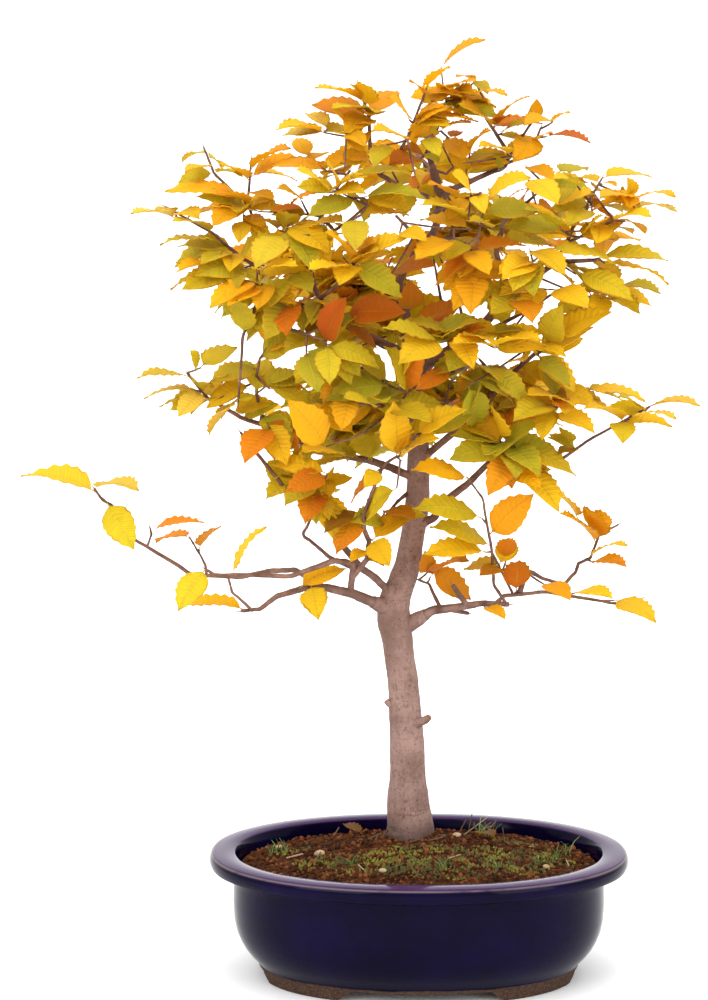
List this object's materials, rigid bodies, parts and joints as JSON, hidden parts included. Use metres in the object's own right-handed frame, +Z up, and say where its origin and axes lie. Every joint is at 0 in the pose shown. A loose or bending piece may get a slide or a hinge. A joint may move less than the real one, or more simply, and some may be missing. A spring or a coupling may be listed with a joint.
{
  "type": "bonsai tree in pot",
  "caption": "Small beech tree with yellow and green autumn leaves and a smooth upright trunk, growing in an oval glazed pot on low feet.",
  "frame": {"origin": "middle of the outer box of tree and pot, at the level of the surface the pot's feet stand on", "axes": "+Z up along the trunk, +X along the pot's length to the viewer's right, -Y towards the viewer"},
  "size_m": [0.398, 0.2754, 0.5535],
  "materials": {
    "blue_glaze": "deep cobalt blue gloss glaze, bare brown clay on the feet",
    "soil": "reddish-brown fired clay granules with moss",
    "bark": "smooth grey-brown bark",
    "autumn_leaves": "thin leaves from yellow and green to amber and brown, on thin grey-brown twigs",
    "mesh_plastic": "matt dark plastic net"
  },
  "bodies": {
    "root": {"pot": "blue_glaze", "soil": "soil", "drain_screen_left": "mesh_plastic", "drain_screen_right": "mesh_plastic", "trunk": "bark", "branch_low_left": "autumn_leaves", "branch_left_rising": "autumn_leaves", "branch_low_right": "autumn_leaves", "branch_right_low": "autumn_leaves", "branch_right_mid": "autumn_leaves", "branch_right_main": "autumn_leaves", "branch_top_right": "autumn_leaves", "branch_left_main": "autumn_leaves", "branch_left_mid": "autumn_leaves", "branch_left_low": "autumn_leaves", "branch_top_left": "autumn_leaves", "branch_top": "autumn_leaves", "branch_back_low_left": "autumn_leaves", "branch_back_low_right": "autumn_leaves", "branch_back_mid": "autumn_leaves", "branch_back_left": "autumn_leaves", "branch_back_right": "autumn_leaves", "branch_back_top": "autumn_leaves", "branch_front_left": "autumn_leaves", "branch_front_right": "autumn_leaves", "branch_front_upper": "autumn_leaves", "branch_front_upper_right": "autumn_leaves"}
  },
  "joints": []
}
